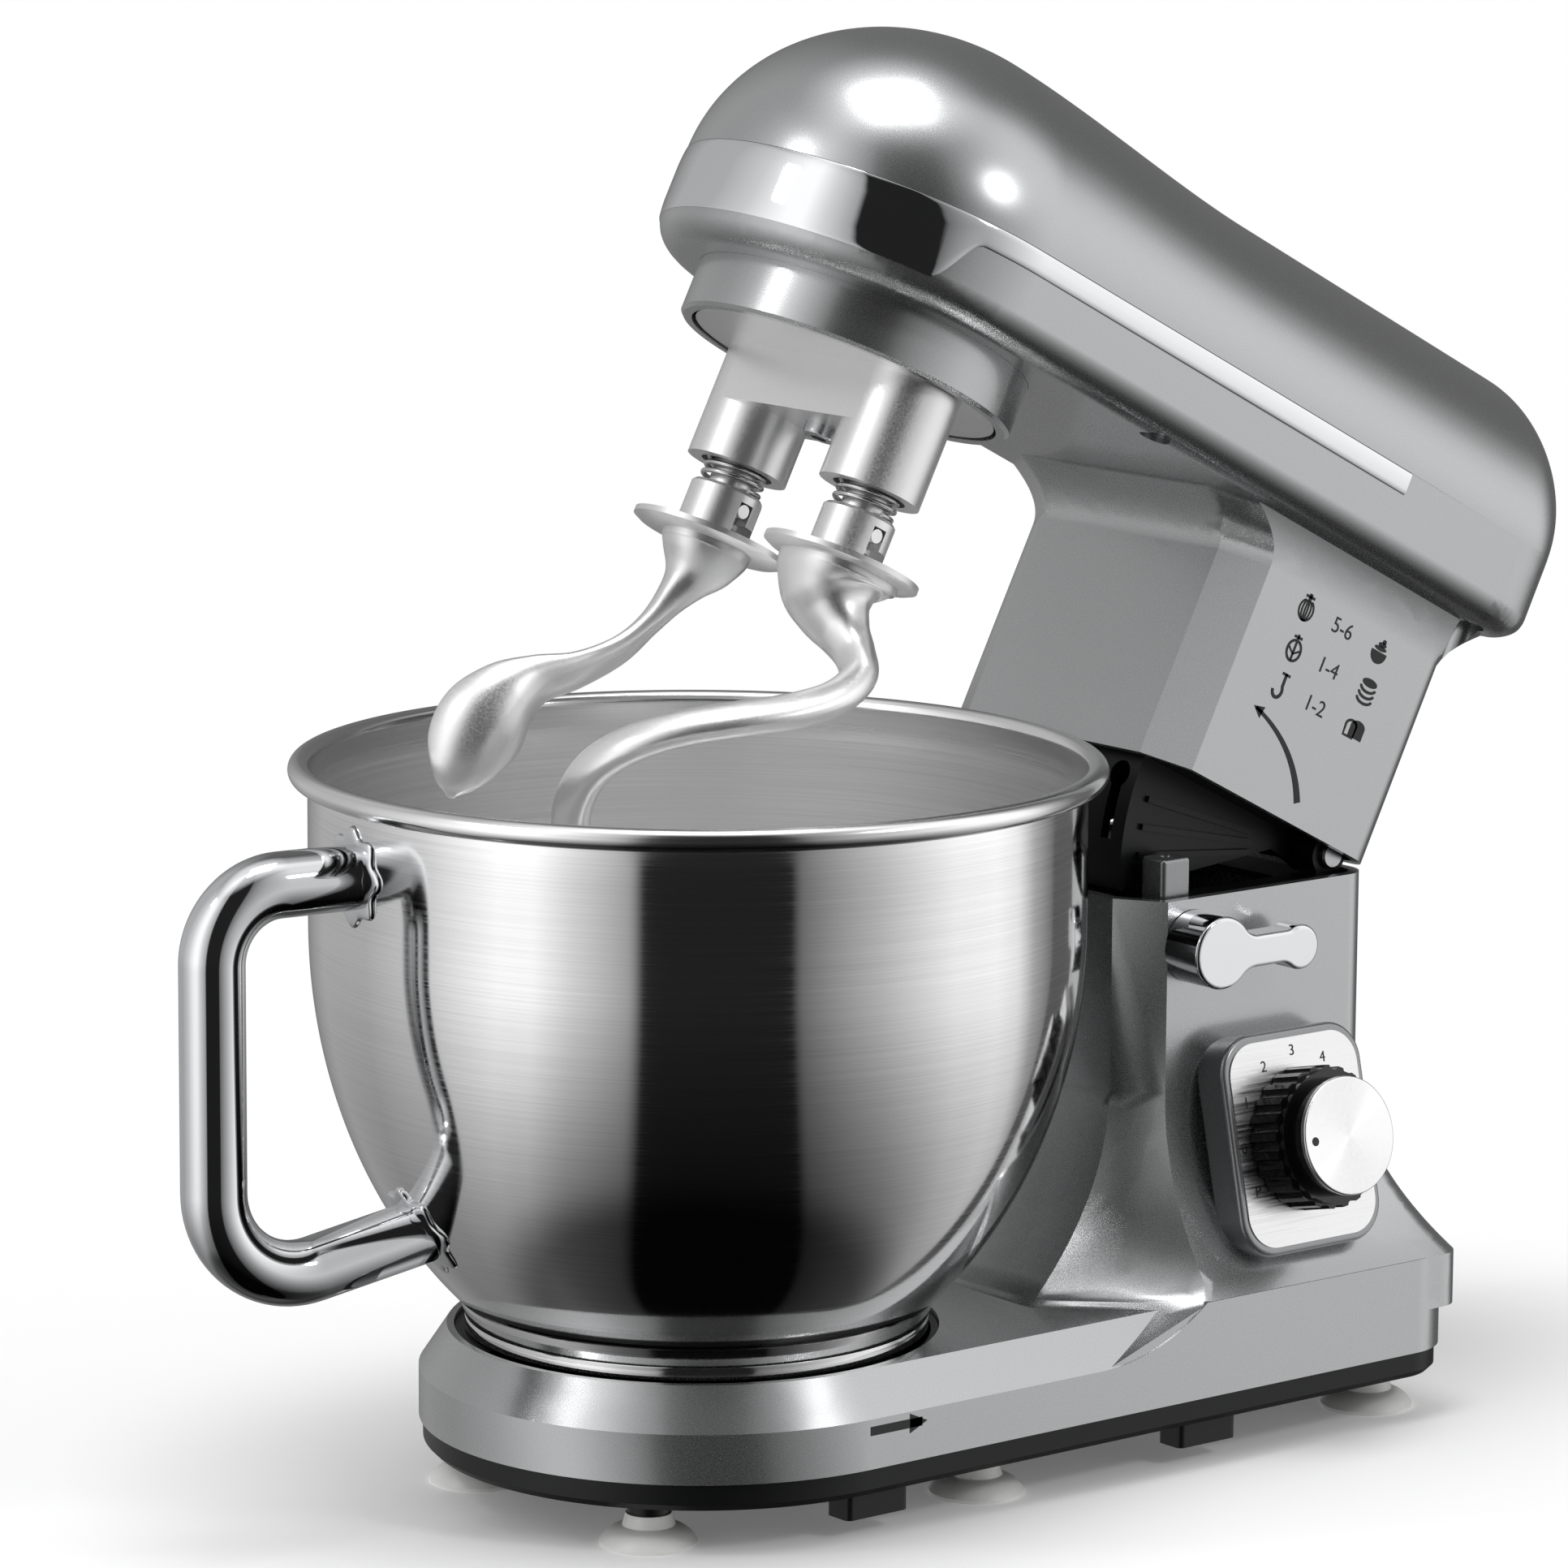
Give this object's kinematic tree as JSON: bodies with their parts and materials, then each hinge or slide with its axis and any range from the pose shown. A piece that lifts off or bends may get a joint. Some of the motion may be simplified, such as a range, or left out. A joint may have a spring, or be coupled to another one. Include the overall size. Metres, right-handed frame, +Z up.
{
  "type": "stand mixer",
  "caption": "Tilt-head kitchen stand mixer with a steel bowl on a bayonet seat, planetary hub with twin dough hooks, speed dial and release lever.",
  "frame": {"origin": "on the table, under the axis of the bowl", "axes": "+X the side with the knob and lever, -Y the front, +Z up; the head is raised at rest"},
  "size_m": [0.232, 0.4559, 0.4146],
  "materials": {
    "silver_paint": "metallic silver-grey lacquer",
    "black_plastic": "matt black",
    "white_rubber": "soft white",
    "screw_steel": "plated",
    "spring_steel": "bright wire",
    "stainless": "brushed and polished",
    "chrome": "polished",
    "satin_casting": "satin casting",
    "silver_trim": "silver lacquer",
    "dial_aluminium": "brushed",
    "knob_black": "gloss black",
    "gear_steel": "machined",
    "bush_bronze": "plain",
    "stack_iron": "laminated",
    "drive_plastic": "moulded",
    "belt_rubber": "toothed",
    "board": "green"
  },
  "bodies": {
    "base": {"base_housing": "silver_paint", "base_plate": "black_plastic", "suction_feet": "white_rubber", "base_screws": "screw_steel", "bowl_seat": "black_plastic", "column_cap": "black_plastic", "hinge_pin": "screw_steel", "interlock_switch": "drive_plastic", "dial_bezel": "silver_trim", "dial_plate": "dial_aluminium", "speed_switch": "drive_plastic", "control_board": "board", "cord_gland": "black_plastic"},
    "plunger": {"interlock_plunger": "black_plastic"},
    "lever": {"release_lever": "chrome", "lever_shaft": "screw_steel", "latch_arm": "screw_steel"},
    "knob": {"speed_knob": "knob_black", "knob_cap": "dial_aluminium", "knob_shaft": "screw_steel"},
    "bowl_unit": {"bowl": "stainless", "bowl_foot_ring": "stainless", "bowl_handle": "chrome", "handle_brackets": "chrome"},
    "head": {"head_top_shell": "silver_paint", "head_lower_shell": "silver_paint", "chrome_band": "chrome", "neck_insert": "black_plastic", "hub_collar": "satin_casting", "ring_gear": "gear_steel", "gearbox_plate": "gear_steel", "upper_gear_plate": "gear_steel", "shaft_bearings": "bush_bronze", "shell_screws": "screw_steel", "motor_frame": "gear_steel", "motor_stator": "stack_iron", "motor_brushes": "drive_plastic", "drive_belt": "belt_rubber"},
    "hub": {"planet_carrier": "satin_casting", "main_shaft": "gear_steel", "main_gear": "gear_steel", "hub_screw": "screw_steel", "spindle_bushes": "bush_bronze"},
    "planet_a": {"spindle_a": "satin_casting", "planet_gear_a": "gear_steel", "hook_spring_a": "spring_steel"},
    "planet_b": {"spindle_b": "satin_casting", "planet_gear_b": "gear_steel", "hook_spring_b": "spring_steel"},
    "hook_a": {"spiral_hook": "satin_casting"},
    "hook_b": {"spoon_hook": "satin_casting"},
    "layshaft_unit": {"layshaft": "gear_steel", "layshaft_pinion": "gear_steel", "big_pulley": "drive_plastic"},
    "rotor": {"motor_shaft": "gear_steel", "armature": "stack_iron", "commutator": "bush_bronze", "motor_fan": "drive_plastic", "motor_pulley": "drive_plastic"}
  },
  "joints": [
    {"name": "head_tilt", "type": "hinge", "parent": "base", "child": "head", "pos_m": [0, 0.2025, 0.1673], "axis": [1, 0, 0], "range_deg": [0, 27.3]},
    {"name": "plunger_press", "type": "slide", "parent": "base", "child": "plunger", "axis": [0, 0, -1], "range_m": [0, 0.0056]},
    {"name": "lever_turn", "type": "hinge", "parent": "base", "child": "lever", "pos_m": [0.055, 0.1404, 0.1489], "axis": [1, 0, 0], "range_deg": [0, 60], "stiffness_Nm_per_rad": 0.35},
    {"name": "speed_turn", "type": "hinge", "parent": "base", "child": "knob", "pos_m": [0.0699, 0.17, 0.0905], "axis": [-0.9744, 0, -0.225], "range_deg": [-30, 180]},
    {"name": "bowl_twist", "type": "hinge", "parent": "base", "child": "bowl_unit", "pos_m": [0, 0, 0.04], "axis": [0, 0, 1], "range_deg": [-40, 0]},
    {"name": "hub_spin", "type": "hinge", "parent": "head", "child": "hub", "pos_m": [0, 0.05154, 0.31634], "axis": [0, 0.4587, 0.8886], "continuous": true},
    {"name": "planet_a_spin", "type": "hinge", "parent": "hub", "child": "planet_a", "pos_m": [0.03, 0.03755, 0.28923], "axis": [0, 0.4587, 0.8886], "continuous": true},
    {"name": "planet_b_spin", "type": "hinge", "parent": "hub", "child": "planet_b", "pos_m": [-0.03, 0.03755, 0.28923], "axis": [0, 0.4587, 0.8886], "continuous": true},
    {"name": "hook_a_press", "type": "slide", "parent": "planet_a", "child": "hook_a", "axis": [0, 0.4587, 0.8886], "range_m": [0, 0.006], "stiffness_N_per_m": 1200, "springref_m": -0.002, "deforming": ["hook_spring_a"]},
    {"name": "hook_b_press", "type": "slide", "parent": "planet_b", "child": "hook_b", "axis": [0, 0.4587, 0.8886], "range_m": [0, 0.006], "stiffness_N_per_m": 1200, "springref_m": -0.002, "deforming": ["hook_spring_b"]},
    {"name": "layshaft_spin", "type": "hinge", "parent": "head", "child": "layshaft_unit", "pos_m": [0, 0.11298, 0.32908], "axis": [0, 0.4587, 0.8886], "continuous": true},
    {"name": "motor_spin", "type": "hinge", "parent": "head", "child": "rotor", "pos_m": [0, 0.19882, 0.23976], "axis": [0, 0.4587, 0.8886], "continuous": true}
  ],
  "couplings": [
    {"joint": "plunger_press", "follows": "head_tilt", "m_per_rad": 0.011543},
    {"joint": "planet_a_spin", "follows": "hub_spin", "ratio": -3.5},
    {"joint": "planet_b_spin", "follows": "hub_spin", "ratio": -3.5},
    {"joint": "layshaft_spin", "follows": "hub_spin", "ratio": -4.5714},
    {"joint": "motor_spin", "follows": "hub_spin", "ratio": -22.857}
  ]
}
